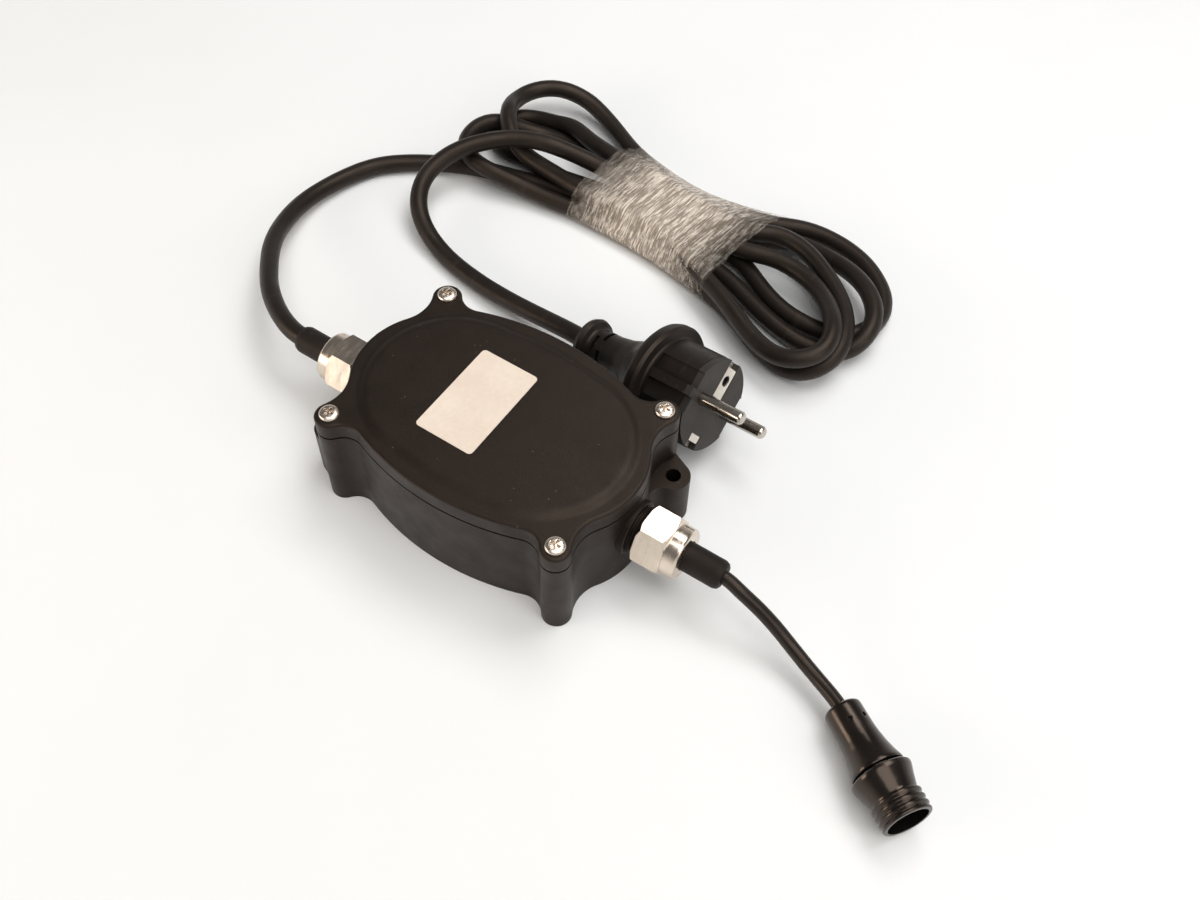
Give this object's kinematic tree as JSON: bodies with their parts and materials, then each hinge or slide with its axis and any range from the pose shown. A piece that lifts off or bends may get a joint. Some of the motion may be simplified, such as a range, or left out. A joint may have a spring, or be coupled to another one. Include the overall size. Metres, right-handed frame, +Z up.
{
  "type": "pond light transformer",
  "caption": "Outdoor low-voltage transformer for pond lights: screwed black housing, cable glands, wrapped mains cord with earthed plug, short 12 V lead with threaded connector.",
  "frame": {"origin": "centre of the housing's footprint, on the surface it stands on", "axes": "+X towards the low-voltage gland, +Y towards the side the plug lies on, +Z up"},
  "size_m": [0.3417, 0.2329, 0.0453],
  "materials": {
    "housing_plastic": "fine spark-eroded texture",
    "gasket_rubber": "matte",
    "screw_steel": "satin stainless",
    "label_film": "satin cream film, blank",
    "board_laminate": "solder mask",
    "core_steel": "varnished laminations",
    "bobbin_nylon": "natural nylon",
    "primary_copper": "enamelled copper wire under clear tape",
    "secondary_copper": "enamelled copper wire",
    "fuse_ceramic": "glazed",
    "rectifier_epoxy": "moulded epoxy",
    "capacitor_can": "sleeved can",
    "terminal_plastic": "moulded polyamide",
    "core_brown": "PVC insulation",
    "core_blue": "PVC insulation",
    "core_green": "green and yellow PVC insulation",
    "core_red": "PVC insulation",
    "core_black": "PVC insulation",
    "grommet_rubber": "matte",
    "ring_nylon": "natural nylon",
    "nut_nickel": "nickel-plated brass, satin",
    "cord_rubber": "matte rubber sheath",
    "stretch_film": "clear stretch film",
    "plug_rubber": "moulded rubber",
    "plug_insert": "satin grey-black",
    "pin_nickel": "nickel-plated brass",
    "lead_pvc": "satin sheath",
    "connector_plastic": "glossy black",
    "contact_brass": "gold-flashed"
  },
  "bodies": {
    "housing": {"base_shell": "housing_plastic", "lid_gasket": "gasket_rubber", "circuit_board": "board_laminate", "board_screws": "screw_steel", "transformer_e_core": "core_steel", "transformer_i_core": "core_steel", "transformer_bobbin": "bobbin_nylon", "primary_winding": "primary_copper", "secondary_winding": "secondary_copper", "thermal_fuse": "fuse_ceramic", "bridge_rectifier": "rectifier_epoxy", "smoothing_capacitor": "capacitor_can", "mains_terminal": "terminal_plastic", "lv_terminal": "terminal_plastic", "live_core": "core_brown", "neutral_core": "core_blue", "earth_core": "core_green", "plus_core": "core_red", "minus_core": "core_black", "mains_grommet": "grommet_rubber", "lv_grommet": "grommet_rubber", "mains_lead_housing": "cord_rubber", "mains_hank": "cord_rubber", "mains_lead_plug": "cord_rubber", "hank_wrap": "stretch_film", "plug_body": "plug_rubber", "plug_face": "plug_insert", "plug_pins": "pin_nickel", "plug_earth_clips": "pin_nickel", "lv_lead": "lead_pvc", "connector_sleeve": "connector_plastic", "connector_body": "connector_plastic", "connector_seal": "gasket_rubber", "connector_contacts": "contact_brass"},
    "lid": {"lid": "housing_plastic", "label": "label_film"},
    "screws": {"lid_screws": "screw_steel"},
    "mains_ring": {"mains_thrust_ring": "ring_nylon"},
    "mains_nut": {"mains_gland_nut": "nut_nickel"},
    "lv_ring": {"lv_thrust_ring": "ring_nylon"},
    "lv_nut": {"lv_gland_nut": "nut_nickel"}
  },
  "joints": [
    {"name": "lid_lift", "type": "slide", "parent": "housing", "child": "lid", "axis": [0, 0, 1], "range_m": [0, 0.04]},
    {"name": "screws_out", "type": "slide", "parent": "lid", "child": "screws", "axis": [0, 0, 1], "range_m": [0, 0.03]},
    {"name": "mains_ring_travel", "type": "slide", "parent": "housing", "child": "mains_ring", "axis": [-1, 0, 0], "range_m": [0, 0.00901]},
    {"name": "mains_nut_turn", "type": "hinge", "parent": "mains_ring", "child": "mains_nut", "pos_m": [-0.07, 0, 0.0215], "axis": [-1, 0, 0], "range_deg": [0, 2160]},
    {"name": "lv_ring_travel", "type": "slide", "parent": "housing", "child": "lv_ring", "axis": [1, 0, 0], "range_m": [0, 0.00901]},
    {"name": "lv_nut_turn", "type": "hinge", "parent": "lv_ring", "child": "lv_nut", "pos_m": [0.07, 0, 0.0215], "axis": [1, 0, 0], "range_deg": [0, 2160]}
  ],
  "couplings": [
    {"joint": "mains_ring_travel", "follows": "mains_nut_turn", "m_per_rad": 0.00023873},
    {"joint": "lv_ring_travel", "follows": "lv_nut_turn", "m_per_rad": 0.00023873}
  ]
}
